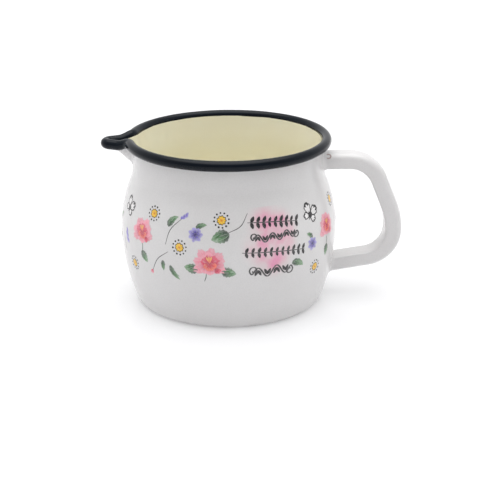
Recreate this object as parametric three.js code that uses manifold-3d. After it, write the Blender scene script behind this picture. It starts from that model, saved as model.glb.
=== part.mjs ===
// Enamelled steel milk and melting pot: a bellied pot with a pressed pouring lip, a rolled
// rim and a hollow strap handle. Millimetres, +Z up. The origin is the centre of the flat
// base on the pot's axis; the lip points along -X and the handle along +X.

import * as THREE from 'three';
import { mergeVertices } from 'three/addons/utils/BufferGeometryUtils.js';
import Module from 'manifold-3d';

// ---------------------------------------------------------------- driving dimensions

// Rim: a bead curled outwards from the top edge of the sheet.
const RIM_OUTER_DIAMETER = 120;
const RIM_BEAD_DIAMETER = 6;
const CURL_SWEEP = THREE.MathUtils.degToRad(295);

// Pot body, measured on its outer face.
const POT_HEIGHT = 99.1;
const BELLY_BULGE = 8.1;
const LOWER_SIDE_RADIUS = 116;
const SHOULDER_RADIUS = 72;
const NECK_RADIUS = 36;
const COLLAR_HEIGHT = 10.7;
const BASE_CORNER_RADIUS = 4;

// Sheet and coats. The white coat is fused to the sheet and counted with it.
const SHEET_THICKNESS = 0.95;
const LINING_THICKNESS = 0.25;
const RIM_COAT_THICKNESS = 0.25;

// Pouring lip, measured on the centre line of the bead, but for the clear radius that the
// bead leaves inside its tip.
const LIP_REACH = 13.7;
const LIP_CLEAR_RADIUS = 0.9;
const LIP_HALF_TAPER = THREE.MathUtils.degToRad(25);
const LIP_ROOT_FILLET = 7;
const LIP_DEPTH = 15.6;
const LIP_DROOP = 1.9;

// Handle: a rounded channel closed on its inner side by a flat strip.
const HANDLE_WIDTH = 14;
const HANDLE_THICKNESS = 9.4;
const HANDLE_SHEET = 0.9;
const HANDLE_OUTER_CORNER = 4;
const HANDLE_INNER_CORNER = 1.2;
const HANDLE_DROP_BELOW_RIM = 12.9;
const FINGER_GAP = 29.8;
const GRIP_LEAN = THREE.MathUtils.degToRad(22);
const LOWER_ARM_SLOPE = THREE.MathUtils.degToRad(9);
const UPPER_CORNER_RADIUS = 19;
const LOWER_CORNER_RADIUS = 18;
const LOWER_ARM_HEIGHT = 22.5;
const VENT_DIAMETER = 2.4;
const VENT_CLEAR_OF_WELD = 0.2;
const VENT_TILT = THREE.MathUtils.degToRad(135);
const VENT_CUT_DEPTH = 3 * HANDLE_SHEET;

// Welds that join the handle to the pot.
const WELD_LEG = 1.8;
const WELD_REACH = 2.4;

// Free space left between pieces that are cut to each other's shape.
const FIT_GAP = 0.3;

// Facets.
const CIRCLE_FACETS = 32;
const ARC_FACETS = 3;
const COLLAR_FACETS = 3;
const CURL_FACETS = 8;
const HANDLE_STEPS = 34;
const VENT_FACETS = 16;
const ENVELOPE_FACETS = 96;

// ---------------------------------------------------------------- derived sizes

const beadRadius = RIM_BEAD_DIAMETER / 2;
const rimRadius = RIM_OUTER_DIAMETER / 2 - beadRadius;
const rimHeight = POT_HEIGHT - beadRadius;
const wallThickness = SHEET_THICKNESS + LINING_THICKNESS;
const neckRadius = rimRadius - beadRadius + wallThickness;
const bellyRadius = neckRadius + BELLY_BULGE;
const lipTipRadius = beadRadius + LIP_CLEAR_RADIUS;

// ---------------------------------------------------------------- pot profile

// Points along a circular arc of the profile, each with its outward normal angle. A
// negative radius makes a hollow arc, which curves round a centre outside the pot.
function arcStations(centreR, centreZ, radius, from, to, count, skipFirst = true) {
  const stations = [];
  for (let i = skipFirst ? 1 : 0; i <= count; i += 1) {
    const angle = THREE.MathUtils.lerp(from, to, i / count);
    stations.push({
      r: centreR + radius * Math.cos(angle),
      z: centreZ + radius * Math.sin(angle),
      angle,
    });
  }
  return stations;
}

// The outer face from the edge of the flat base up to the height of the bead's centre.
// Corner, side, shoulder and neck are arcs that meet with a common tangent.
function potProfile(arcFacets) {
  const neckCentreR = neckRadius + NECK_RADIUS;
  const shoulderCentreR = bellyRadius - SHOULDER_RADIUS;
  const neckCentreZ = rimHeight - COLLAR_HEIGHT;
  const arcsApart = SHOULDER_RADIUS + NECK_RADIUS;
  const sideways = neckCentreR - shoulderCentreR;
  const bellyZ = neckCentreZ - Math.sqrt(arcsApart ** 2 - sideways ** 2);
  const neckAngle = Math.atan2(neckCentreZ - bellyZ, sideways);

  const sideCentreR = bellyRadius - LOWER_SIDE_RADIUS;
  const sideToCorner = LOWER_SIDE_RADIUS - BASE_CORNER_RADIUS;
  const cornerDrop = bellyZ - BASE_CORNER_RADIUS;
  const cornerCentreR = sideCentreR + Math.sqrt(sideToCorner ** 2 - cornerDrop ** 2);
  const cornerAngle = -Math.asin(cornerDrop / sideToCorner);

  const stations = [
    ...arcStations(cornerCentreR, BASE_CORNER_RADIUS, BASE_CORNER_RADIUS,
      -Math.PI / 2, cornerAngle, arcFacets, false),
    ...arcStations(sideCentreR, bellyZ, LOWER_SIDE_RADIUS, cornerAngle, 0, arcFacets),
    ...arcStations(shoulderCentreR, bellyZ, SHOULDER_RADIUS, 0, neckAngle, arcFacets),
    ...arcStations(neckCentreR, neckCentreZ, -NECK_RADIUS, neckAngle, 0, arcFacets),
  ];
  for (let i = 1; i <= COLLAR_FACETS; i += 1) {
    const z = THREE.MathUtils.lerp(neckCentreZ, rimHeight, i / COLLAR_FACETS);
    stations.push({ r: neckRadius, z, angle: 0 });
  }
  return stations;
}

// ---------------------------------------------------------------- rim outline

// The bead's centre line in plan: a circle that runs through hollow fillets into the two
// straight, tapering sides and the round tip of the lip. Each column has its point, its
// outward normal and how much of the lip's reach it has.
function rimColumns() {
  const tipCentre = rimRadius + LIP_REACH - lipTipRadius;
  const sideNormal = new THREE.Vector2(Math.sin(LIP_HALF_TAPER), Math.cos(LIP_HALF_TAPER));
  const sideAlong = new THREE.Vector2(-sideNormal.y, sideNormal.x);
  const across = tipCentre * sideNormal.x + lipTipRadius + LIP_ROOT_FILLET;
  const along = -Math.sqrt((rimRadius + LIP_ROOT_FILLET) ** 2 - across ** 2);
  const fillet = sideNormal.clone().multiplyScalar(across);
  fillet.addScaledVector(sideAlong, along);

  const half = [];
  for (let i = 0; i <= ARC_FACETS; i += 1) {
    const a = (Math.PI / 2 - LIP_HALF_TAPER) * (i / ARC_FACETS);
    const normal = new THREE.Vector2(Math.cos(a), Math.sin(a));
    half.push({ point: normal.clone().multiplyScalar(lipTipRadius), normal });
    half[i].point.x += tipCentre;
  }
  const filletFrom = Math.atan2(-sideNormal.y, -sideNormal.x);
  const filletTo = Math.atan2(-fillet.y, -fillet.x);
  for (let i = 0; i <= ARC_FACETS; i += 1) {
    const a = THREE.MathUtils.lerp(filletFrom, filletTo, i / ARC_FACETS);
    const normal = new THREE.Vector2(-Math.cos(a), -Math.sin(a));
    const point = fillet.clone().addScaledVector(normal, -LIP_ROOT_FILLET);
    half.push({ point, normal });
  }
  const circleFrom = Math.atan2(fillet.y, fillet.x);
  const halfCircleFacets = CIRCLE_FACETS / 2;
  for (let i = 1; i <= halfCircleFacets; i += 1) {
    const a = THREE.MathUtils.lerp(circleFrom, Math.PI, i / halfCircleFacets);
    const normal = new THREE.Vector2(Math.cos(a), Math.sin(a));
    half.push({ point: normal.clone().multiplyScalar(rimRadius), normal });
  }

  // The half outline is mirrored for the other side; the lip turns to face -X.
  const mirrored = half.slice(1, -1).reverse().map(({ point, normal }) => ({
    point: new THREE.Vector2(point.x, -point.y),
    normal: new THREE.Vector2(normal.x, -normal.y),
  }));
  return [...half, ...mirrored].map(({ point, normal }) => {
    const turned = new THREE.Vector2(-point.x, -point.y);
    const reach = (turned.length() - rimRadius) / LIP_REACH;
    return {
      point: turned,
      normal: new THREE.Vector2(-normal.x, -normal.y),
      radial: turned.clone().normalize(),
      droop: LIP_DROOP * THREE.MathUtils.smoothstep(reach, 0, 0.5),
    };
  });
}

// ---------------------------------------------------------------- pot surfaces

const profile = potProfile(ARC_FACETS);
const columns = rimColumns();

// How far a height has flared into the lip, from 0 at its foot to 1 at the bead's centre.
function lipFlare(z) {
  const soft = 0.2;
  const t = Math.max(0, (z - (rimHeight - LIP_DEPTH)) / LIP_DEPTH);
  const ramp = t < soft ? t ** 2 / (2 * soft) : t - soft / 2;
  return ramp / (1 - soft / 2);
}

// The pot's outer face: the profile turned round the axis, and its upper part drawn out
// to meet the inner side of the bead.
function outerFace() {
  const rows = profile.map((station) => columns.map((column) => {
    const flare = lipFlare(station.z);
    const wallTop = column.point.clone().addScaledVector(column.normal, neckRadius - rimRadius);
    const drawnOut = wallTop.addScaledVector(column.radial, -neckRadius);
    const plan = column.radial.clone().multiplyScalar(station.r).addScaledVector(drawnOut, flare);
    return new THREE.Vector3(plan.x, plan.y, station.z - column.droop * flare);
  }));
  return rows;
}

const face = outerFace();

// Outward normals of the outer face, taken across the neighbouring points in the flared
// part and straight from the profile below it. The top row's lie in the bead's section.
function faceNormal(row, index) {
  const station = profile[row];
  const column = columns[index];
  if (row === profile.length - 1) {
    return new THREE.Vector3(column.normal.x, column.normal.y, 0);
  }
  if (lipFlare(station.z) === 0) {
    const outwards = Math.cos(station.angle);
    const { radial } = column;
    return new THREE.Vector3(radial.x * outwards, radial.y * outwards, Math.sin(station.angle));
  }
  const next = face[row][(index + 1) % columns.length];
  const last = face[row][(index + columns.length - 1) % columns.length];
  const around = next.clone().sub(last);
  const upwards = face[row + 1][index].clone().sub(face[row - 1][index]);
  return around.cross(upwards).normalize();
}

const normals = face.map((row, r) => row.map((_, c) => faceNormal(r, c)));

// The face that lies a given depth under the outer face, row by row from the axis up.
function wallRows(depth) {
  const onAxis = [new THREE.Vector3(0, 0, depth)];
  const rows = face.map((row, r) => row.map((point, c) => (
    point.clone().addScaledVector(normals[r][c], -depth))));
  return [onAxis, ...rows];
}

// Rows round the bead at a given distance from its centre line, from the pot's side over
// the top to the free edge of the curl.
function curlRows(radius) {
  const rows = [];
  for (let i = 0; i <= CURL_FACETS; i += 1) {
    const turn = Math.PI - CURL_SWEEP * (i / CURL_FACETS);
    rows.push(columns.map(({ point, normal, droop }) => {
      const plan = point.clone().addScaledVector(normal, radius * Math.cos(turn));
      return new THREE.Vector3(plan.x, plan.y, rimHeight - droop + radius * Math.sin(turn));
    }));
  }
  return rows;
}

// A closed skin over two faces, each given as rows of points in the same climbing order.
// It goes up the first face and back down the second. A row of one point is a pole on the
// axis; without poles the two faces are joined at their foot as well. Facets are split the
// same way on both, so that two coats over one face share its facets.
function skinGeometry(climbing, returning) {
  const rows = [...climbing, ...returning.toReversed()];
  const hasPoles = rows[0].length === 1;
  const starts = [];
  let used = 0;
  rows.forEach((row) => {
    starts.push(used);
    used += row.length;
  });
  const indices = [];
  const bands = hasPoles ? rows.length - 1 : rows.length;
  for (let band = 0; band < bands; band += 1) {
    const upper = (band + 1) % rows.length;
    for (let i = 0; i < columns.length; i += 1) {
      const next = (i + 1) % columns.length;
      const a = starts[band] + (rows[band].length === 1 ? 0 : i);
      const b = starts[band] + (rows[band].length === 1 ? 0 : next);
      const c = starts[upper] + (rows[upper].length === 1 ? 0 : next);
      const d = starts[upper] + (rows[upper].length === 1 ? 0 : i);
      if (a === b) {
        indices.push(a, c, d);
      } else if (c === d) {
        indices.push(a, b, c);
      } else if (band < climbing.length) {
        indices.push(a, b, c, a, c, d);
      } else {
        indices.push(b, c, d, b, d, a);
      }
    }
  }
  const positions = rows.flat().flatMap((p) => p.toArray());
  const geometry = new THREE.BufferGeometry();
  geometry.setAttribute('position', new THREE.Float32BufferAttribute(positions, 3));
  geometry.setIndex(indices);
  geometry.computeVertexNormals();
  return geometry;
}

// The drawn sheet: its outer face runs on round the inside of the curl to the free edge,
// and its inner face runs on over the outside of the curl.
function sheetGeometry() {
  const curlRadius = beadRadius - RIM_COAT_THICKNESS;
  return skinGeometry(
    [...wallRows(0).slice(0, -1), ...curlRows(curlRadius - SHEET_THICKNESS)],
    [...wallRows(SHEET_THICKNESS).slice(0, -1), ...curlRows(curlRadius)],
  );
}

// The cream coat inside the pot.
function liningGeometry() {
  return skinGeometry(wallRows(SHEET_THICKNESS), wallRows(wallThickness));
}

// The dark coat over the curl.
function rimCoatGeometry() {
  return skinGeometry(curlRows(beadRadius - RIM_COAT_THICKNESS), curlRows(beadRadius));
}

// ---------------------------------------------------------------- handle

// The handle's centre line, drawn in the X-Z plane. It leaves the neck level, leans out,
// turns upright at the widest place and comes back to the pot's lower side.
function handlePath() {
  const armZ = rimHeight - HANDLE_DROP_BELOW_RIM;
  const gripX = bellyRadius + FINGER_GAP + HANDLE_THICKNESS / 2;
  const lowerTurn = Math.PI / 2 - LOWER_ARM_SLOPE;
  const gripZ = LOWER_ARM_HEIGHT + LOWER_CORNER_RADIUS * Math.sin(lowerTurn);
  const upperTurn = Math.PI / 2 - GRIP_LEAN;
  const upperFall = UPPER_CORNER_RADIUS * (1 - Math.cos(upperTurn));
  const upperRun = UPPER_CORNER_RADIUS * Math.sin(upperTurn);

  // The lean's straight and the bend below it share the climb from the grip equally.
  const climb = (armZ - upperFall - gripZ) / 2;
  const bendRadius = climb / Math.sin(GRIP_LEAN);
  const bendRun = bendRadius * (1 - Math.cos(GRIP_LEAN));
  const cornerEndX = gripX - bendRun - climb * Math.tan(GRIP_LEAN);
  const cornerX = cornerEndX - upperRun;

  const insideX = rimRadius / 2;
  const path = new THREE.Path();
  path.moveTo(insideX, armZ);
  path.lineTo(cornerX, armZ);
  path.absarc(cornerX, armZ - UPPER_CORNER_RADIUS, UPPER_CORNER_RADIUS,
    Math.PI / 2, GRIP_LEAN, true);
  path.lineTo(gripX - bendRun, gripZ + climb);
  path.absarc(gripX - bendRadius, gripZ, bendRadius, GRIP_LEAN, 0, true);
  path.absarc(gripX - LOWER_CORNER_RADIUS, gripZ, LOWER_CORNER_RADIUS, 0, -lowerTurn, true);
  const armEndX = path.currentPoint.x;
  const armEndZ = path.currentPoint.y;
  path.lineTo(insideX, armEndZ - (armEndX - insideX) * Math.tan(LOWER_ARM_SLOPE));
  return path;
}

// A flat path stood up in the X-Z plane. A section swept along it keeps its first axis
// towards the pot and its second axis along Y.
class UprightCurve extends THREE.Curve {
  constructor(path) {
    super();
    this.path = path;
  }

  getPoint(t, target = new THREE.Vector3()) {
    const flat = this.path.getPointAt(t);
    return target.set(flat.x, 0, flat.y);
  }

  computeFrenetFrames(segments) {
    const tangents = [];
    const sectionAxes = [];
    const binormals = [];
    for (let i = 0; i <= segments; i += 1) {
      const tangent = this.getTangentAt(i / segments);
      tangents.push(tangent);
      sectionAxes.push(new THREE.Vector3(tangent.z, 0, -tangent.x));
      binormals.push(new THREE.Vector3(0, 1, 0));
    }
    return { tangents, normals: sectionAxes, binormals };
  }
}

// Rounded rectangle of the handle's section; x points to the inner side.
function handleOutline(target, grow) {
  const halfX = HANDLE_THICKNESS / 2 + grow;
  const halfY = HANDLE_WIDTH / 2 + grow;
  const outer = HANDLE_OUTER_CORNER + grow;
  const inner = HANDLE_INNER_CORNER + grow;
  target.moveTo(halfX, -halfY + inner);
  target.lineTo(halfX, halfY - inner);
  target.absarc(halfX - inner, halfY - inner, inner, 0, Math.PI / 2, false);
  target.lineTo(-halfX + outer, halfY);
  target.absarc(-halfX + outer, halfY - outer, outer, Math.PI / 2, Math.PI, false);
  target.lineTo(-halfX, -halfY + outer);
  target.absarc(-halfX + outer, -halfY + outer, outer, Math.PI, Math.PI * 1.5, false);
  target.lineTo(halfX - inner, -halfY);
  target.absarc(halfX - inner, -halfY + inner, inner, -Math.PI / 2, 0, false);
  return target;
}

// The channel's section: the outline with the hollow taken out and its inner side open
// between the two legs.
function channelShape() {
  const halfX = HANDLE_THICKNESS / 2;
  const halfY = HANDLE_WIDTH / 2;
  const legY = halfY - HANDLE_SHEET;
  const hollowX = -halfX + HANDLE_SHEET;
  const outer = HANDLE_OUTER_CORNER;
  const bore = outer - HANDLE_SHEET;
  const edge = Math.min(HANDLE_INNER_CORNER, HANDLE_SHEET) / 2;
  const shape = new THREE.Shape();
  shape.moveTo(halfX, legY);
  shape.lineTo(halfX, halfY - edge);
  shape.lineTo(halfX - edge, halfY);
  shape.lineTo(-halfX + outer, halfY);
  shape.absarc(-halfX + outer, halfY - outer, outer, Math.PI / 2, Math.PI, false);
  shape.lineTo(-halfX, -halfY + outer);
  shape.absarc(-halfX + outer, -halfY + outer, outer, Math.PI, Math.PI * 1.5, false);
  shape.lineTo(halfX - edge, -halfY);
  shape.lineTo(halfX, -halfY + edge);
  shape.lineTo(halfX, -legY);
  shape.lineTo(hollowX + bore, -legY);
  shape.absarc(hollowX + bore, -legY + bore, bore, Math.PI * 1.5, Math.PI, true);
  shape.lineTo(hollowX, legY - bore);
  shape.absarc(hollowX + bore, legY - bore, bore, Math.PI, Math.PI / 2, true);
  shape.closePath();
  return shape;
}

// The strip that lies between the channel's legs, flush with their ends.
function stripShape() {
  const halfX = HANDLE_THICKNESS / 2;
  const halfY = HANDLE_WIDTH / 2 - HANDLE_SHEET - FIT_GAP;
  const shape = new THREE.Shape();
  shape.moveTo(halfX - HANDLE_SHEET, -halfY);
  shape.lineTo(halfX, -halfY);
  shape.lineTo(halfX, halfY);
  shape.lineTo(halfX - HANDLE_SHEET, halfY);
  shape.closePath();
  return shape;
}

function sweep(shape) {
  return new THREE.ExtrudeGeometry(shape, {
    steps: HANDLE_STEPS,
    curveSegments: ARC_FACETS,
    extrudePath: new UprightCurve(handlePath()),
  });
}

// ---------------------------------------------------------------- solids

const wasm = await Module();
wasm.setup();

function toSolid(geometry) {
  const bare = geometry.clone();
  bare.deleteAttribute('normal');
  bare.deleteAttribute('uv');
  const merged = mergeVertices(bare);
  return new wasm.Manifold(new wasm.Mesh({
    numProp: 3,
    vertProperties: merged.getAttribute('position').array,
    triVerts: new Uint32Array(merged.getIndex().array),
  }));
}

function toGeometry(solid) {
  const mesh = solid.getMesh();
  const geometry = new THREE.BufferGeometry();
  const positions = new Float32Array(mesh.vertProperties);
  geometry.setAttribute('position', new THREE.BufferAttribute(positions, 3));
  geometry.setIndex(new THREE.BufferAttribute(new Uint32Array(mesh.triVerts), 1));
  geometry.computeVertexNormals();
  return geometry;
}

// The whole pot as a turned block, grown by a clearance: what the handle is cut to.
function potEnvelope(clearance) {
  const outline = potProfile(3 * ARC_FACETS).map(({ r, z, angle }) => new THREE.Vector2(
    r + clearance * Math.cos(angle), z + clearance * Math.sin(angle)));
  const points = [
    new THREE.Vector2(0, outline[0].y),
    ...outline,
    new THREE.Vector2(0, rimHeight),
  ];
  const turned = new THREE.LatheGeometry(points, ENVELOPE_FACETS);
  turned.rotateX(Math.PI / 2);
  return toSolid(turned);
}

// The handle's pieces are cut to the pot's outer face, with the fit gap between them.
function handleSolids() {
  const pot = potEnvelope(FIT_GAP);
  const armZ = rimHeight - HANDLE_DROP_BELOW_RIM;

  // The vent goes square into the rounded upper edge of the upper arm, beside its weld.
  const cornerY = -HANDLE_WIDTH / 2 + HANDLE_OUTER_CORNER;
  const cornerZ = armZ + HANDLE_THICKNESS / 2 - HANDLE_OUTER_CORNER;
  const ventX = neckRadius + FIT_GAP + WELD_REACH + VENT_CLEAR_OF_WELD + VENT_DIAMETER / 2;
  const vent = new THREE.CylinderGeometry(VENT_DIAMETER / 2, VENT_DIAMETER / 2,
    VENT_CUT_DEPTH, VENT_FACETS);
  vent.translate(0, HANDLE_OUTER_CORNER, 0);
  vent.rotateX(VENT_TILT);
  vent.translate(ventX, cornerY, cornerZ);
  const channel = toSolid(sweep(channelShape())).subtract(pot).subtract(toSolid(vent));
  const strip = toSolid(sweep(stripShape())).subtract(pot);

  const outline = (grow) => toSolid(sweep(handleOutline(new THREE.Shape(), grow)));
  const collars = outline(WELD_LEG)
    .intersect(potEnvelope(FIT_GAP + WELD_REACH))
    .subtract(outline(FIT_GAP))
    .subtract(pot)
    .decompose()
    .sort((a, b) => a.boundingBox().min[2] - b.boundingBox().min[2]);
  return { channel, strip, lowerWeld: collars[0], upperWeld: collars[collars.length - 1] };
}

// ---------------------------------------------------------------- the pot

const whiteEnamel = new THREE.MeshStandardMaterial({
  color: 0xe6e4e6, roughness: 0.18, metalness: 0,
});
const creamEnamel = new THREE.MeshStandardMaterial({
  color: 0xeee2b4, roughness: 0.16, metalness: 0,
});
const navyEnamel = new THREE.MeshStandardMaterial({
  color: 0x1c2430, roughness: 0.14, metalness: 0,
});

const pot = new THREE.Group();

function addPiece(name, geometry, material) {
  const mesh = new THREE.Mesh(geometry, material);
  mesh.name = name;
  pot.add(mesh);
}

const handle = handleSolids();
addPiece('body_shell', sheetGeometry(), whiteEnamel);
addPiece('lining_coat', liningGeometry(), creamEnamel);
addPiece('rim_coat', rimCoatGeometry(), navyEnamel);
addPiece('handle_channel', toGeometry(handle.channel), whiteEnamel);
addPiece('handle_strip', toGeometry(handle.strip), whiteEnamel);
addPiece('upper_weld', toGeometry(handle.upperWeld), whiteEnamel);
addPiece('lower_weld', toGeometry(handle.lowerWeld), whiteEnamel);

export default pot;
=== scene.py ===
"""Fine model of an enamelled milk and melting pot with a printed band of flowers.

Lengths are in metres and +Z is up. The origin is the centre of the flat base, the pouring
lip points along -X and the handle along +X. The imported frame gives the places; a motif of
the print is drawn flat, in millimetres, and laid round the belly afterwards.
"""

import logging
import math
import random
from dataclasses import dataclass, field, replace
from enum import Enum
from typing import Callable, Optional, Sequence

import bmesh
import bpy
from mathutils import Matrix, Quaternion, Vector, noise


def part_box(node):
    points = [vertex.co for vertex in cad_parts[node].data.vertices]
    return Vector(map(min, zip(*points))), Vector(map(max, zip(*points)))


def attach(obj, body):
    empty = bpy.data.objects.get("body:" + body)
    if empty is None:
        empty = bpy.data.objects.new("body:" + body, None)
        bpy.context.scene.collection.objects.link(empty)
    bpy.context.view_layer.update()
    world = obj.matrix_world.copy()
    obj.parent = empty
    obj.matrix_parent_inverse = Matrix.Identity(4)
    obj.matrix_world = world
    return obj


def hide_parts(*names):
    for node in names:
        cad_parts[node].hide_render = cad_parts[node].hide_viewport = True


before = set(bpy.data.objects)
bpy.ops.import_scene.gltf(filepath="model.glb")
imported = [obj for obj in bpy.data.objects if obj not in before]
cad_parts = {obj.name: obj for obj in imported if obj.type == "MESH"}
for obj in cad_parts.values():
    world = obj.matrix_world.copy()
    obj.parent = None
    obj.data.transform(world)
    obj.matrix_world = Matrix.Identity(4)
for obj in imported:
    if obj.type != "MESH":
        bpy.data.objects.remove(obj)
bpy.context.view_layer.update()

Colour = tuple[float, float, float]
Flat = tuple[float, float]
Mesh = bmesh.types.BMesh
Vert = bmesh.types.BMVert
Edge = bmesh.types.BMEdge
Socket = bpy.types.NodeSocket

MM = 0.001
SHARP_TURN = 0.75
BODY = "root"
log = logging.getLogger("enamelled_pot")


# ------------------------------------------------------------------ shared tools


def smoothstep(value: float, low: float, high: float) -> float:
    """Returns 0 below low, 1 above high and a soft ramp between them."""
    t = min(1.0, max(0.0, (value - low) / (high - low)))
    return t * t * (3.0 - 2.0 * t)


def mixed(first: Colour, second: Colour, share: float) -> Colour:
    """Returns the colour that lies the given share of the way from first to second."""
    return tuple(a + (b - a) * share for a, b in zip(first, second))


def from_srgb(red: int, green: int, blue: int) -> Colour:
    """Returns the linear colour of a display colour given as three numbers up to 255."""
    return tuple(
        c / 12.92 if c <= 0.04045 else ((c + 0.055) / 1.055) ** 2.4
        for c in (red / 255.0, green / 255.0, blue / 255.0)
    )


def add_piece(
    name: str,
    mesh: Mesh,
    finish: bpy.types.Material,
    stands_for: Sequence[str] = (),
) -> bpy.types.Object:
    """Turns a finished bmesh into a named piece of the pot.

    Args:
        name: the piece's name.
        mesh: its shape, which is freed.
        finish: its material.
        stands_for: the CAD nodes that the piece replaces.

    Returns:
        The new object, riding on the pot's body.
    """
    for face in mesh.faces:
        face.smooth = True
    for edge in mesh.edges:
        edge.smooth = len(edge.link_faces) == 2 and edge.calc_face_angle(0.0) < SHARP_TURN
    data = bpy.data.meshes.new(name)
    mesh.to_mesh(data)
    mesh.free()
    data.materials.append(finish)
    piece = bpy.data.objects.new(name, data)
    bpy.context.scene.collection.objects.link(piece)
    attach(piece, BODY)
    if stands_for:
        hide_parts(*stands_for)
    log.info("%s: %d faces", name, len(data.polygons))
    return piece


def of_kind(items: Sequence[object], kind: type) -> list:
    """Returns the items of one kind, in their order."""
    return [item for item in items if isinstance(item, kind)]


def stepped(mesh: Mesh, last: Vert, place: Vector) -> Vert:
    """Extrudes a point to a place and returns the new one."""
    made = bmesh.ops.extrude_vert_indiv(mesh, verts=[last])["verts"][0]
    made.co = place
    return made


def turn_round(mesh: Mesh, steps: int, weld: float) -> None:
    """Turns what a mesh holds once round the Z axis and closes its seam and pole.

    Args:
        mesh: the mesh, which holds a half section.
        steps: how many columns the turned face gets.
        weld: how close two points are to become one.
    """
    bmesh.ops.spin(
        mesh, geom=mesh.verts[:] + mesh.edges[:], cent=(0.0, 0.0, 0.0),
        axis=(0.0, 0.0, 1.0), angle=math.tau, steps=steps, use_merge=True,
    )
    bmesh.ops.remove_doubles(mesh, verts=mesh.verts[:], dist=weld)


def extrude_through(mesh: Mesh, rings: Sequence[Sequence[Vector]], joined: bool) -> None:
    """Draws a tube by extruding a first ring through the places of all the others.

    Args:
        mesh: the mesh to draw in.
        rings: the places of each ring's points, in the same order in every ring.
        joined: whether the last ring joins the first; otherwise both ends are capped.
    """
    count = len(rings[0])
    start = [mesh.verts.new(place) for place in rings[0]]
    first_edges = [mesh.edges.new((start[i], start[(i + 1) % count])) for i in range(count)]
    order = {vert: i for i, vert in enumerate(start)}
    edges = first_edges
    for ring in rings[1:]:
        made = bmesh.ops.extrude_edge_only(mesh, edges=edges)["geom"]
        following = {}
        for vert in of_kind(made, Vert):
            old = next(e.other_vert(vert) for e in vert.link_edges if e.other_vert(vert) in order)
            following[vert] = order[old]
        for vert, i in following.items():
            vert.co = ring[i]
        order = following
        edges = [e for e in of_kind(made, Edge) if all(v in order for v in e.verts)]
    if joined:
        bmesh.ops.bridge_loops(mesh, edges=first_edges + edges)
    else:
        bmesh.ops.edgeloop_fill(mesh, edges=first_edges)
        bmesh.ops.edgeloop_fill(mesh, edges=edges)
    bmesh.ops.recalc_face_normals(mesh, faces=mesh.faces[:])


# ------------------------------------------------------------------ finishes


class Nodes:
    """The shader nodes of a material or a world, added and joined one by one."""

    def __init__(self, owner: bpy.types.ID) -> None:
        """Starts with none."""
        owner.use_nodes = True
        self.tree = owner.node_tree
        self.tree.nodes.clear()

    def node(self, kind: str, **settings: object) -> bpy.types.Node:
        """Adds a node of one kind and sets its properties."""
        made = self.tree.nodes.new(kind)
        for key, value in settings.items():
            setattr(made, key, value)
        return made

    def join(self, source: Socket, target: Socket) -> None:
        """Links an output to an input."""
        self.tree.links.new(source, target)

    def feed(self, target: Socket, value: object) -> None:
        """Gives an input a link, if value is an output, or a set value."""
        if isinstance(value, Socket):
            self.join(value, target)
        else:
            target.default_value = value

    def span(self, value: Socket, low: float, high: float, first: float, last: float) -> Socket:
        """Returns value carried from low..high to first..last, softly and held at the ends."""
        made = self.node("ShaderNodeMapRange", interpolation_type="SMOOTHSTEP")
        self.join(value, made.inputs["Value"])
        for name, number in zip(("From Min", "From Max", "To Min", "To Max"),
                                (low, high, first, last)):
            made.inputs[name].default_value = number
        return made.outputs[0]

    def calc(self, operation: str, first: object, second: object) -> Socket:
        """Returns the result of one sum on two values."""
        made = self.node("ShaderNodeMath", operation=operation)
        self.feed(made.inputs[0], first)
        self.feed(made.inputs[1], second)
        return made.outputs[0]

    def blend(self, share: object, first: object, second: object) -> Socket:
        """Returns the colour that lies the given share of the way from first to second."""
        made = self.node("ShaderNodeMix", data_type="RGBA")
        self.feed(made.inputs[0], share)
        for socket, colour in ((made.inputs[6], first), (made.inputs[7], second)):
            self.feed(socket, (*colour, 1.0) if isinstance(colour, tuple) else colour)
        return made.outputs[2]


class Surface(Nodes):
    """A material being made: its nodes end in one Principled shader."""

    def __init__(self, name: str) -> None:
        """Starts a material with a Principled shader and an output."""
        self.material = bpy.data.materials.new(name)
        super().__init__(self.material)
        self.shader = self.node("ShaderNodeBsdfPrincipled")
        output = self.node("ShaderNodeOutputMaterial")
        self.join(self.shader.outputs["BSDF"], output.inputs["Surface"])
        self.place = self.node("ShaderNodeTexCoord").outputs["Object"]

    def noise(
        self, scale: float, detail: float = 2.0, vector: Optional[Socket] = None
    ) -> Socket:
        """Returns a noise of about 0 to 1 whose features are one scale-th of a metre."""
        made = self.node("ShaderNodeTexNoise")
        made.inputs["Scale"].default_value = scale
        made.inputs["Detail"].default_value = detail
        self.join(vector or self.place, made.inputs["Vector"])
        return made.outputs[0]

    def height(self) -> Socket:
        """Returns the height above the base, in metres."""
        made = self.node("ShaderNodeSeparateXYZ")
        self.join(self.place, made.inputs[0])
        return made.outputs[2]

    def relief(self, height: Socket, depth: float) -> None:
        """Raises the surface by a height of 0 to 1 times depth, in metres."""
        made = self.node("ShaderNodeBump")
        made.inputs["Distance"].default_value = depth
        self.join(height, made.inputs["Height"])
        self.join(made.outputs[0], self.shader.inputs["Normal"])


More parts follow.
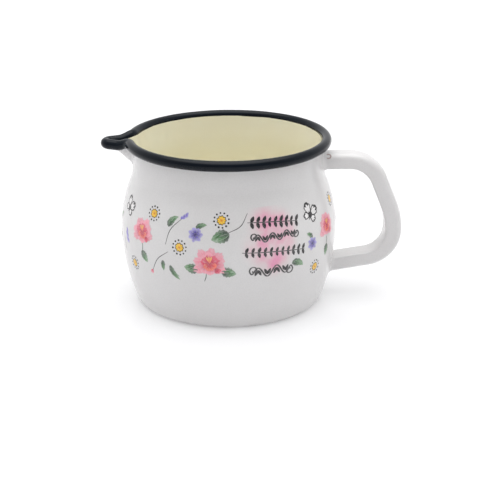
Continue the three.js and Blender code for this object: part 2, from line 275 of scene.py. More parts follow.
@dataclass(frozen=True)
class Enamel:
    """A fired glass coat over steel: pooled and thinner tones, painted shade at the foot, gloss
    and fine waviness.
    """

    name: str
    colour: Colour
    pooled: Colour
    # the coat's second tone, used for grain and pin specks and for the painted shade at the foot
    thin_tone_and_shade: Colour
    gloss: float = 0.10
    dull: float = 0.17
    waviness: float = 0.00012
    # how high the painted shade at the pot's foot reaches, in metres
    foot_shade_height: float = 0.0035
    specular: float = 0.5
    refraction: float = 1.52
    cloud_scale: float = 38.0
    grain_scale: float = 1400.0
    speck_scale: float = 210.0
    wave_scale: float = 45.0
    peel_scale: float = 620.0
    peel_share: float = 0.045

    def colour_of(self, surface: Surface) -> Socket:
        """Adds the coat's colour to a surface.

        Args:
            surface: the material being made.

        Returns:
            The colour: clouds of thicker coat, fine grain, pin specks and a painted shade
            at the foot, the coat's second tone laid darkest along the base's edge.
        """
        clouds = surface.span(surface.noise(self.cloud_scale, 4.0), 0.35, 0.7, 0.0, 1.0)
        tone = surface.blend(clouds, self.colour, self.pooled)
        grain = surface.span(surface.noise(self.grain_scale), 0.3, 0.75, 0.0, 0.10)
        tone = surface.blend(grain, tone, self.thin_tone_and_shade)
        specks = surface.node("ShaderNodeTexVoronoi")
        specks.inputs["Scale"].default_value = self.speck_scale
        surface.join(surface.place, specks.inputs["Vector"])
        pin = surface.span(specks.outputs["Distance"], 0.03, 0.06, 1.0, 0.0)
        rare = surface.span(surface.noise(60.0, 1.0), 0.62, 0.66, 0.0, 0.5)
        tone = surface.blend(surface.calc("MULTIPLY", pin, rare), tone, self.thin_tone_and_shade)
        # Painted shade: the coat's second tone is laid over the lowest few millimetres, strongest
        # along the base's edge, as the shade where the pot meets the floor.
        wander = surface.calc("MULTIPLY", surface.noise(90.0, 3.0), self.foot_shade_height)
        edge = surface.calc("SUBTRACT", surface.height(), wander)
        foot_shade = surface.span(edge, -self.foot_shade_height / 2, self.foot_shade_height / 4, 0.75, 0.0)
        return surface.blend(foot_shade, tone, self.thin_tone_and_shade)

    def gloss_of(self, surface: Surface) -> None:
        """Adds the coat's shine and its slow waves and orange peel to a surface."""
        shine = surface.span(surface.noise(120.0, 5.0), 0.3, 0.75, self.gloss, self.dull)
        surface.join(shine, surface.shader.inputs["Roughness"])
        surface.shader.inputs["IOR"].default_value = self.refraction
        surface.shader.inputs["Specular IOR Level"].default_value = self.specular
        slow = surface.noise(self.wave_scale)
        peel = surface.calc("MULTIPLY", surface.noise(self.peel_scale), self.peel_share)
        surface.relief(surface.calc("ADD", slow, peel), self.waviness)

    def material(self) -> bpy.types.Material:
        """Returns the finished material."""
        surface = Surface(self.name)
        surface.join(self.colour_of(surface), surface.shader.inputs["Base Color"])
        self.gloss_of(surface)
        return surface.material


@dataclass(frozen=True)
class PrintedGlaze:
    """Printed colours fired into a coat: pigment from the mesh, brushed and grainy."""

    name: str
    ground: Enamel
    streak: float
    grain: float
    stroke_stretch: tuple[float, float, float] = (1.4, 6.5, 1.0)
    deepening: float = 1.7
    grain_scale: float = 1100.0

    def material(self) -> bpy.types.Material:
        """Returns the finished material.

        The mesh's "pigment" attribute gives the colour and how strongly it covers the
        ground, and its "stroke" map runs along (U) and across (V) each brush stroke.
        """
        surface = Surface(self.name)
        pigment = surface.node("ShaderNodeAttribute", attribute_name="pigment")
        stroke = surface.node("ShaderNodeUVMap", uv_map="stroke")
        stretch = surface.node("ShaderNodeMapping")
        stretch.inputs["Scale"].default_value = self.stroke_stretch
        surface.join(stroke.outputs[0], stretch.inputs["Vector"])
        brushed = surface.noise(1.6, 3.0, stretch.outputs[0])
        dark = surface.span(brushed, 0.42, 0.72, 0.0, self.streak)
        light = surface.span(brushed, 0.28, 0.5, self.streak, 0.0)
        deeper = surface.node("ShaderNodeGamma")
        surface.join(pigment.outputs["Color"], deeper.inputs["Color"])
        deeper.inputs["Gamma"].default_value = self.deepening
        tone = surface.blend(dark, pigment.outputs["Color"], deeper.outputs[0])
        tone = surface.blend(light, tone, self.ground.colour)
        speckle = surface.noise(self.grain_scale)
        cover = surface.span(speckle, 0.3, 0.8, 1.0, 1.0 - self.grain)
        cover = surface.calc("MULTIPLY", cover, pigment.outputs["Alpha"])
        tone = surface.blend(cover, self.ground.colour_of(surface), tone)
        surface.join(tone, surface.shader.inputs["Base Color"])
        self.ground.gloss_of(surface)
        return surface.material


WHITE = Enamel(
    "white_enamel",
    colour=(0.735, 0.722, 0.722),
    pooled=(0.755, 0.745, 0.745),
    thin_tone_and_shade=(0.42, 0.41, 0.42),
)
CREAM = Enamel(
    "cream_enamel",
    colour=(0.93, 0.895, 0.735),
    pooled=(0.94, 0.92, 0.78),
    thin_tone_and_shade=(0.84, 0.79, 0.60),
    foot_shade_height=0.0001,
)
NAVY = Enamel(
    "navy_enamel",
    colour=(0.0022, 0.0054, 0.0105),
    pooled=(0.0016, 0.0036, 0.0075),
    thin_tone_and_shade=(0.012, 0.017, 0.024),
    gloss=0.08,
    dull=0.14,
    waviness=0.00018,
    specular=0.17,
)


# ------------------------------------------------------------------ the pot


@dataclass(frozen=True)
class Arc:
    """An arc of the pot's profile; a negative radius curves round a centre outside it."""

    centre: Flat
    radius: float
    start: float
    end: float
    steps: int

    def at(self, share: float) -> tuple[float, float, float]:
        """Returns the distance from the axis, the height and the normal's angle."""
        angle = self.start + (self.end - self.start) * share
        return (
            self.centre[0] + self.radius * math.cos(angle),
            self.centre[1] + self.radius * math.sin(angle),
            angle,
        )


@dataclass(frozen=True)
class PotProfile:
    """The pot's outer face in section: corner, side, shoulder, neck and straight collar."""

    belly_radius: float
    neck_radius: float
    rim_height: float
    side_arc: float = 0.116
    shoulder_arc: float = 0.072
    neck_arc: float = 0.036
    collar: float = 0.0107
    corner: float = 0.004
    base_rings: tuple[float, ...] = (0.12, 0.35, 0.6, 0.8, 0.92, 0.98, 1.0)
    collar_rings: int = 6

    def arcs(self, depth: float = 0.0) -> list[Arc]:
        """Returns the arcs from the base up, for a face that lies depth under the outer one."""
        neck = (self.neck_radius + self.neck_arc, self.rim_height - self.collar)
        shoulder_r = self.belly_radius - self.shoulder_arc
        apart = self.shoulder_arc + self.neck_arc
        sideways = neck[0] - shoulder_r
        belly_z = neck[1] - math.sqrt(apart**2 - sideways**2)
        neck_angle = math.atan2(neck[1] - belly_z, sideways)
        side_r = self.belly_radius - self.side_arc
        to_corner = self.side_arc - self.corner
        drop = belly_z - self.corner
        corner_r = side_r + math.sqrt(to_corner**2 - drop**2)
        corner_angle = -math.asin(drop / to_corner)
        full = [
            Arc((corner_r, self.corner), self.corner, -math.pi / 2, corner_angle, 8),
            Arc((side_r, belly_z), self.side_arc, corner_angle, 0.0, 20),
            Arc((shoulder_r, belly_z), self.shoulder_arc, 0.0, neck_angle, 14),
            Arc(neck, -self.neck_arc, neck_angle, 0.0, 10),
        ]
        return [replace(arc, radius=arc.radius - depth) for arc in full]

    def radius_at(self, height: float) -> float:
        """Returns the outer face's distance from the axis at a height."""
        for arc in self.arcs():
            if height <= arc.at(1.0)[1]:
                angle = math.asin(max(-1.0, (height - arc.centre[1]) / arc.radius))
                return arc.centre[0] + arc.radius * math.cos(angle)
        return self.neck_radius

    def climbed(self, height: float, distance: float) -> tuple[float, float, float]:
        """Walks up the outer face of the side or the shoulder.

        Args:
            height: where the walk starts.
            distance: how far it goes along the face; negative is down.

        Returns:
            The distance from the axis, the height and the normal's angle at its end.
        """
        _, side, shoulder, _ = self.arcs()
        centre_z = side.centre[1]
        arc = side if height < centre_z else shoulder
        run = arc.radius * math.asin((height - centre_z) / arc.radius) + distance
        arc = side if run < 0.0 else shoulder
        angle = run / arc.radius
        return replace(arc, start=angle, end=angle).at(0.0)

    def draw(self, mesh: Mesh, depth: float) -> Vert:
        """Draws the half section from the axis up to the bead's centre and returns its top."""
        arcs = self.arcs(depth)
        base_r, base_z, _ = arcs[0].at(0.0)
        last = mesh.verts.new((0.0, 0.0, base_z))
        for share in self.base_rings:
            last = stepped(mesh, last, Vector((base_r * share, 0.0, base_z)))
        for arc in arcs:
            made = bmesh.ops.spin(
                mesh, geom=[last], cent=(arc.centre[0], 0.0, arc.centre[1]),
                axis=(0.0, 1.0, 0.0), angle=arc.start - arc.end, steps=arc.steps,
            )
            last = of_kind(made["geom_last"], Vert)[0]
        foot = last.co.copy()
        for i in range(1, self.collar_rings + 1):
            rise = Vector((0.0, 0.0, self.collar * i / self.collar_rings))
            last = stepped(mesh, last, foot + rise)
        return last


@dataclass(frozen=True)
class Column:
    """One upright line of the pot: where it meets the bead's centre line, in plan."""

    point: Vector
    normal: Vector
    radial: Vector
    droop: float


@dataclass(frozen=True)
class RimOutline:
    """The bead's centre line in plan: a circle that fillets into a tapering round lip."""

    rim_radius: float
    lip_reach: float
    tip_radius: float = 0.0039
    half_taper: float = math.radians(25.0)
    root_fillet: float = 0.007
    droop: float = 0.0019
    columns: int = 320
    tip_crowding: float = 0.35

    def _half_point(self, distance: float) -> tuple[Vector, Vector, float]:
        """Walks from the lip's tip round half the outline, with the lip along +X.

        Args:
            distance: how far to walk.

        Returns:
            The point, its outward normal and how much of the walk is left over.
        """
        tip_x = self.rim_radius + self.lip_reach - self.tip_radius
        side = Vector((math.sin(self.half_taper), math.cos(self.half_taper)))
        along = Vector((-side.y, side.x))
        across = tip_x * side.x + self.tip_radius + self.root_fillet
        back = math.sqrt((self.rim_radius + self.root_fillet) ** 2 - across**2)
        fillet = side * across - along * back
        tip_turn = math.pi / 2 - self.half_taper
        tip_arc = self.tip_radius * tip_turn
        if distance <= tip_arc:
            angle = distance / self.tip_radius
            normal = Vector((math.cos(angle), math.sin(angle)))
            return Vector((tip_x, 0.0)) + normal * self.tip_radius, normal, 0.0
        distance -= tip_arc
        side_start = Vector((tip_x, 0.0)) + side * self.tip_radius
        side_end = fillet - side * self.root_fillet
        straight = (side_end - side_start).length
        if distance <= straight:
            return side_start.lerp(side_end, distance / straight), side, 0.0
        distance -= straight
        start = math.atan2(-side.y, -side.x)
        end = math.atan2(-fillet.y, -fillet.x)
        turn = end - start
        fillet_arc = self.root_fillet * abs(turn)
        if distance <= fillet_arc:
            angle = start + turn * distance / fillet_arc
            normal = Vector((-math.cos(angle), -math.sin(angle)))
            return fillet - normal * self.root_fillet, normal, 0.0
        distance -= fillet_arc
        angle = math.atan2(fillet.y, fillet.x) + distance / self.rim_radius
        normal = Vector((math.cos(angle), math.sin(angle)))
        return normal * self.rim_radius, normal, self.rim_radius * (math.pi - angle)

    def all_columns(self) -> list[Column]:
        """Returns the columns, counted anticlockwise from +X and crowded at the lip."""
        probe = 2.0 * self.rim_radius
        half_length = probe + self._half_point(probe)[2]
        made = []
        for i in range(self.columns):
            share = i / self.columns
            away = abs(1.0 - 2.0 * share)
            crowded = self.tip_crowding * away + (1.0 - self.tip_crowding) * away**3
            point, normal, _ = self._half_point(crowded * half_length)
            side = 1.0 if share < 0.5 else -1.0
            point = Vector((-point.x, side * point.y))
            normal = Vector((-normal.x, side * normal.y))
            reach = (point.length - self.rim_radius) / self.lip_reach
            droop = self.droop * smoothstep(reach, 0.0, 0.5)
            made.append(Column(point, normal, point.normalized(), droop))
        return made


@dataclass
class PotBody:
    """The drawn steel pot: its sheet with the white coat, the lining and the rim's bead."""

    bead_radius: float = 0.003
    sheet: float = 0.00095
    lining: float = 0.00025
    lip_depth: float = 0.0156
    lip_softness: float = 0.2
    bead_sides: int = 28
    bead_unevenness: float = 0.00005
    bead_wave_scale: float = 90.0
    weld_distance: float = 1e-7
    pole_radius: float = 1e-6
    profile: PotProfile = field(init=False)
    outline: RimOutline = field(init=False)
    columns: list[Column] = field(init=False)

    def __post_init__(self) -> None:
        """Takes the pot's main sizes from the frame."""
        rim_low, rim_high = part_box("rim_coat")
        rim_radius = rim_high.x - self.bead_radius
        wall = self.sheet + self.lining
        lip_reach = -rim_low.x - self.bead_radius - rim_radius
        self.profile = PotProfile(
            belly_radius=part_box("body_shell")[1].x,
            neck_radius=rim_radius - self.bead_radius + wall,
            rim_height=rim_high.z - self.bead_radius,
        )
        self.outline = RimOutline(rim_radius=rim_radius, lip_reach=lip_reach)
        self.columns = self.outline.all_columns()

    def column_of(self, place: Vector) -> Column:
        """Returns the column that a turned point belongs to."""
        share = (math.atan2(place.y, place.x) / math.tau) % 1.0
        return self.columns[round(share * len(self.columns)) % len(self.columns)]

    def flare(self, height: float) -> float:
        """Returns how far a height has flared into the lip, 0 at its foot and 1 at the bead."""
        soft = self.lip_softness
        t = max(0.0, (height - self.profile.rim_height + self.lip_depth) / self.lip_depth)
        ramp = t * t / (2.0 * soft) if t < soft else t - soft / 2.0
        return ramp / (1.0 - soft / 2.0)

    def shell(self, outer: float, inner: float) -> Mesh:
        """Returns the closed shell between two depths under the outer face.

        Both half sections are drawn and joined at the top, each point keeping its depth,
        and turned together; then every point is carried out into the lip.
        """
        mesh = bmesh.new()
        depths = mesh.verts.layers.float.new("depth")
        tops = []
        for depth in (outer, inner):
            before = set(mesh.verts)
            tops.append(self.profile.draw(mesh, depth))
            for vert in mesh.verts:
                if vert not in before:
                    vert[depths] = depth
        mesh.edges.new(tops)
        turn_round(mesh, len(self.columns), self.weld_distance)
        for vert in mesh.verts:
            radius = math.hypot(vert.co.x, vert.co.y)
            if radius < self.pole_radius:
                continue
            column = self.column_of(vert.co)
            flare = self.flare(vert.co.z)
            neck = self.profile.neck_radius - vert[depths]
            top = column.point + column.normal * (neck - self.outline.rim_radius)
            plan = column.radial * radius + (top - column.radial * neck) * flare
            vert.co = (plan.x, plan.y, vert.co.z - column.droop * flare)
        bmesh.ops.recalc_face_normals(mesh, faces=mesh.faces[:])
        return mesh

    def bead(self) -> Mesh:
        """Returns the round bead: a ring turned round the axis and carried to the outline."""
        mesh = bmesh.new()
        height = self.profile.rim_height
        stood = Matrix.Translation((self.outline.rim_radius, 0.0, height))
        stood = stood @ Matrix.Rotation(math.pi / 2, 4, "X")
        bmesh.ops.create_circle(
            mesh, segments=self.bead_sides, radius=self.bead_radius, matrix=stood
        )
        turn_round(mesh, len(self.columns), self.weld_distance)
        for vert in mesh.verts:
            column = self.column_of(vert.co)
            outwards = math.hypot(vert.co.x, vert.co.y) - self.outline.rim_radius
            plan = column.point + column.normal * outwards
            vert.co = (plan.x, plan.y, vert.co.z - column.droop)
        bmesh.ops.recalc_face_normals(mesh, faces=mesh.faces[:])
        mesh.normal_update()
        scale = self.bead_wave_scale
        moved = [
            vert.co + vert.normal * noise.noise(vert.co * scale) * self.bead_unevenness
            for vert in mesh.verts
        ]
        for vert, place in zip(mesh.verts, moved):
            vert.co = place
        return mesh

    def build(self) -> None:
        """Builds and dresses the sheet, the lining and the bead."""
        wall = self.sheet + self.lining
        add_piece("pot_body", self.shell(0.0, self.sheet), WHITE.material(),
                  ["body_shell"])
        add_piece("pot_lining", self.shell(self.sheet, wall), CREAM.material(),
                  ["lining_coat"])
        add_piece("rim_bead", self.bead(), NAVY.material(), ["rim_coat"])


# ------------------------------------------------------------------ the handle


@dataclass(frozen=True)
class Station:
    """A place on the handle's centre line, in the X-Z plane, and the way it runs."""

    x: float
    z: float
    heading: float

    def out(self, inner: float, across: float) -> Vector:
        """Returns a section point: inner towards the hand's gap, across along Y."""
        return Vector((
            self.x + inner * math.sin(self.heading),
            across,
            self.z - inner * math.cos(self.heading),
        ))

    def along(self, distance: float) -> "Station":
        """Returns the station a straight distance further on."""
        return replace(
            self,
            x=self.x + distance * math.cos(self.heading),
            z=self.z + distance * math.sin(self.heading),
        )


@dataclass
class Handle:
    """The hollow strap handle: a pressed channel, its closing strip, welds and a vent."""

    profile: PotProfile
    width: float = 0.014
    thickness: float = 0.0094
    outer_corner: float = 0.004
    inner_corner: float = 0.0012
    strip_half: float = 0.0058
    seam: float = 0.0002
    sheet: float = 0.0009
    arm_height: float = 0.0832
    lean: float = math.radians(22.0)
    slope: float = math.radians(9.0)
    upper_corner: float = 0.019
    lower_corner: float = 0.018
    lower_height: float = 0.0225
    weld: float = 0.0028
    vent_radius: float = 0.0012
    vent_x: float = 0.0580
    vent_sides: int = 40
    finest_turn: float = math.radians(4.0)
    straight_step: float = 0.002
    root_clearance: float = 0.004
    root_offsets: tuple[float, ...] = (-0.0003, 0.0012, 0.0026)
    bed_depth: float = 0.0005
    bed_corner: float = 0.00012
    bed_edge: float = 0.00016
    strip_proud: float = 0.00002
    strip_edge: float = 0.00028
    arm_swell: float = 0.95
    grip_swell: float = 0.09
    halvings: int = 30
    farthest: float = 0.03

    def centre_line(self) -> list[Station]:
        """Returns the stations from the pot's neck round the grip to its lower side."""
        grip_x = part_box("handle_channel")[1].x - self.thickness / 2
        lower_turn = math.pi / 2 - self.slope
        grip_z = self.lower_height + self.lower_corner * math.sin(lower_turn)
        upper_turn = math.pi / 2 - self.lean
        fall = self.upper_corner * (1.0 - math.cos(upper_turn))
        run = self.upper_corner * math.sin(upper_turn)
        climb = (self.arm_height - fall - grip_z) / 2
        bend = climb / math.sin(self.lean)
        bend_run = bend * (1.0 - math.cos(self.lean))
        corner_x = grip_x - bend_run - climb * math.tan(self.lean) - run
        stations = [Station(self.profile.neck_radius, self.arm_height, 0.0)]
        self._straight(stations, corner_x - self.profile.neck_radius)
        self._turned(stations, self.upper_corner, upper_turn)
        self._straight(stations, climb / math.cos(self.lean))
        self._turned(stations, bend, self.lean)
        self._turned(stations, self.lower_corner, lower_turn)
        last = stations[-1]
        self._straight(stations, (last.x - self.profile.neck_radius) / math.cos(self.slope))
        return stations

    def _straight(self, stations: list[Station], length: float) -> None:
        """Adds stations along a straight."""
        start = stations[-1]
        steps = max(1, round(length / self.straight_step))
        stations.extend(start.along(length * i / steps) for i in range(1, steps + 1))

    def _turned(self, stations: list[Station], radius: float, turn: float) -> None:
        """Adds stations round a clockwise corner."""
        start = stations[-1]
        centre = start.out(radius, 0.0)
        steps = max(4, round(turn / self.finest_turn))
        for i in range(1, steps + 1):
            heading = start.heading - turn * i / steps
            stations.append(Station(
                centre.x - radius * math.sin(heading),
                centre.z + radius * math.cos(heading),
                heading,
            ))

    def gap_to_pot(self, place: Vector) -> float:
        """Returns how far outside the pot's outer face a point lies, sideways."""
        return math.hypot(place.x, place.y) - self.profile.radius_at(place.z)

    def reach(self, arm: Station, inner: float, across: float) -> float:
        """Finds where a line along an arm meets the pot.

        Args:
            arm: a station in the arm's straight, well outside the pot.
            inner: the line's place in the section, towards the hand's gap.
            across: its place in the section, along Y.

        Returns:
            The signed distance from the station to the pot's face along the arm.
        """
        towards = -1.0 if math.cos(arm.heading) > 0.0 else 1.0
        near, far = 0.0, self.farthest
        for _ in range(self.halvings):
            middle = (near + far) / 2
            place = arm.along(towards * middle).out(inner, across)
            if self.gap_to_pot(place) > 0.0:
                near = middle
            else:
                far = middle
        return towards * near

    @staticmethod
    def section(corners: Sequence[tuple[float, float, float]], segments: int) -> list[Flat]:
        """Rounds a flat outline's corners.

        Args:
            corners: each corner's place and radius, in order.
            segments: how many sides each rounding gets.

        Returns:
            The outline's points in order.
        """
        mesh = bmesh.new()
        verts = [mesh.verts.new((u, v, 0.0)) for u, v, _ in corners]
        mesh.faces.new(verts)
        for vert, (_, _, radius) in zip(verts, corners):
            bmesh.ops.bevel(
                mesh, geom=[vert], offset=radius, offset_type="OFFSET", affect="VERTICES",
                segments=segments, profile=0.5, material=-1,
            )
        mesh.faces.ensure_lookup_table()
        outline = [(loop.vert.co.x, loop.vert.co.y) for loop in mesh.faces[0].loops]
        mesh.free()
        return outline

    def channel_section(self) -> list[Flat]:
        """Returns the channel's outline, with the shallow bed that the strip lies in."""
        u = self.thickness / 2
        v = self.width / 2
        bed = self.strip_half + self.seam
        half = [
            (u - self.bed_depth, bed, self.bed_corner),
            (u, bed, self.bed_edge),
            (u, v, self.inner_corner),
            (-u, v, self.outer_corner),
        ]
        mirrored = [(a, -b, radius) for a, b, radius in reversed(half)]
        return self.section(half + mirrored, 5)

    def strip_section(self) -> list[Flat]:
        """Returns the strip's outline, with soft edges."""
        deep = self.thickness / 2 - self.sheet
        proud = self.thickness / 2 + self.strip_proud
        v = self.strip_half
        corners = ((deep, -v), (proud, -v), (proud, v), (deep, v))
        return self.section([(*corner, self.strip_edge) for corner in corners], 4)

    def swell(self, station: Station) -> float:
        """Returns how much thicker the handle is at a station: a little more at the grip."""
        upright = abs(math.sin(station.heading))
        return self.arm_swell + self.grip_swell * smoothstep(upright, 0.2, 1.0)

    def clear_stations(self) -> list[Station]:
        """Returns the centre line's stations whose whole section stands off the pot."""
        u = self.thickness / 2
        edges = [(a, b) for a in (-u, 0.0, u) for b in (0.0, self.width / 2)]
        return [
            s for s in self.centre_line()
            if min(self.gap_to_pot(s.out(a, b)) for a, b in edges) > self.root_clearance
        ]

    def root_ring(
        self, arm: Station, section: Sequence[Flat], stand_off: float, grow: float
    ) -> list[Vector]:
        """Returns the section's ring that follows the pot's face at one end of the handle.

        Args:
            arm: a station in the straight arm at that end.
            section: the outline.
            stand_off: how far along the arm the ring stands off the pot; negative is in it.
            grow: how far the ring stands out from the outline.

        Returns:
            The ring's points.
        """
        away = 1.0 if math.cos(arm.heading) > 0.0 else -1.0
        factor = self.swell(arm)
        ring = []
        for inner, across in section:
            place = Vector((inner * factor, across))
            centre = Vector((
                max(-0.0012, min(0.0030, place.x)),
                max(-0.0030, min(0.0030, place.y)),
            ))
            place += (place - centre).normalized() * grow
            distance = self.reach(arm, place.x, place.y) + away * stand_off
            ring.append(arm.along(distance).out(place.x, place.y))
        return ring

    def swept(self, section: Sequence[Flat]) -> Mesh:
        """Returns a section swept along the handle and let into the pot at both ends."""
        stations = self.clear_stations()
        middle = [
            [s.out(inner * self.swell(s), across) for inner, across in section]
            for s in stations
        ]
        first, last = (
            [self.root_ring(arm, section, off, 0.0) for off in self.root_offsets]
            for arm in (stations[0], stations[-1])
        )
        mesh = bmesh.new()
        extrude_through(mesh, first + middle + last[::-1], joined=False)
        return mesh

    def weld_fillet(self, arm: Station) -> Mesh:
        """Returns the hollow fillet of weld and coat round one root of the handle."""
        u = self.thickness / 2
        v = self.width / 2
        section = self.section([
            (u, -v, self.inner_corner), (u, v, self.inner_corner),
            (-u, v, self.outer_corner), (-u, -v, self.outer_corner),
        ], 6)
        size = self.weld
        outline = [(size * (1.0 - math.sin(a)), size * (1.0 - math.cos(a)))
                   for a in (math.radians(9.0 * i) for i in range(11))]
        outline[0] = (size * 1.15, -0.00002)
        outline += [(-0.0003, size * 1.05), (-0.0003, -0.0004), (size * 1.1, -0.0004)]
        rings = [self.root_ring(arm, section, off, grow) for off, grow in outline]
        mesh = bmesh.new()
        extrude_through(mesh, rings, joined=True)
        return mesh

    def vent_eyelet(self) -> Mesh:
        """Returns the vent's burnt eyelet: a turned dish on the arm's rounded upper edge."""
        mesh = bmesh.new()
        size = self.vent_radius
        outline = ((0.0, -0.10), (0.45, -0.08), (0.80, 0.02), (1.10, 0.10), (1.35, 0.07),
                   (1.60, -0.04), (1.70, -0.22))
        last = mesh.verts.new((0.0, 0.0, outline[0][1] * size))
        for out, rise in outline[1:]:
            last = stepped(mesh, last, Vector((out * size, 0.0, rise * size)))
        turn_round(mesh, self.vent_sides, 1e-8)
        rim = [edge for edge in mesh.edges if edge.is_boundary]
        under = bmesh.ops.extrude_edge_only(mesh, edges=rim)["geom"]
        for vert in of_kind(under, Vert):
            vert.co.z -= size * 0.3
        bmesh.ops.edgeloop_fill(mesh, edges=[e for e in of_kind(under, Edge) if e.is_boundary])
        corner = self.outer_corner
        for vert in mesh.verts:
            vert.co.z -= corner - math.sqrt(max(0.0, corner**2 - vert.co.y**2))
        inwards = corner * (1.0 - math.sqrt(0.5))
        top = self.arm_height + self.thickness / 2 * self.arm_swell
        place = Vector((self.vent_x, -self.width / 2 + inwards, top - inwards))
        stood = Matrix.Translation(place) @ Matrix.Rotation(math.pi / 4, 4, "X")
        bmesh.ops.transform(mesh, matrix=stood, verts=mesh.verts[:])
        bmesh.ops.recalc_face_normals(mesh, faces=mesh.faces[:])
        return mesh

    def build(self) -> None:
        """Builds and dresses the channel, the strip, both welds and the vent's eyelet."""
        coat = replace(WHITE, name="handle_enamel", waviness=0.00016, foot_shade_height=0.0001)
        white = coat.material()
        add_piece("handle_shell", self.swept(self.channel_section()), white,
                  ["handle_channel"])
        add_piece("handle_inner_strip", self.swept(self.strip_section()), white,
                  ["handle_strip"])
        stations = self.clear_stations()
        for name, arm in (("upper_weld", stations[0]), ("lower_weld", stations[-1])):
            add_piece(f"{name}_fillet", self.weld_fillet(arm), white, [name])
        burnt = replace(
            coat, name="burnt_enamel", colour=(0.42, 0.33, 0.31), pooled=(0.62, 0.52, 0.50),
            thin_tone_and_shade=(0.24, 0.15, 0.12),
        )
        add_piece("vent_eyelet", self.vent_eyelet(), burnt.material())


# ------------------------------------------------------------------ the printed band


class Pigment(Enum):
    """The print's colours."""

    BLUSH = from_srgb(246, 162, 180)
    ROSE = from_srgb(234, 88, 118)
    DEEP_ROSE = from_srgb(204, 38, 76)
    CORAL = from_srgb(248, 120, 96)
    PALE_LEAF = from_srgb(86, 148, 84)
    LEAF = from_srgb(42, 102, 48)
    DARK_LEAF = from_srgb(20, 60, 34)
    LILAC = from_srgb(166, 158, 224)
    VIOLET = from_srgb(112, 98, 196)
    DEEP_VIOLET = from_srgb(52, 38, 116)
    YOLK = from_srgb(250, 200, 60)
    AMBER = from_srgb(232, 146, 36)
    INK = from_srgb(18, 17, 22)
    WASH = from_srgb(238, 134, 180)
    PAPER = from_srgb(238, 236, 236)


class Sheet(Enum):
    """The print's colour runs, each a piece: its name and how far it lies off the coat."""

    WASH = ("print_wash", 0.020)
    STEMS = ("print_stems", 0.045)
    LEAVES = ("print_leaves", 0.055)
    PEONIES = ("print_peonies", 0.065)
    VIOLETS = ("print_violets", 0.065)
    DAISIES = ("print_daisies", 0.065)
    BUTTERFLIES = ("print_butterflies", 0.060)
    INK = ("print_ink", 0.060)


@dataclass(frozen=True)
class Spot:
    """A place on the belly: degrees from -Y towards +X, and millimetres above the base."""

    angle: float
    height: float

    def turned(self, degrees: float) -> "Spot":
        """Returns the spot carried round the pot."""
        return replace(self, angle=self.angle + degrees)


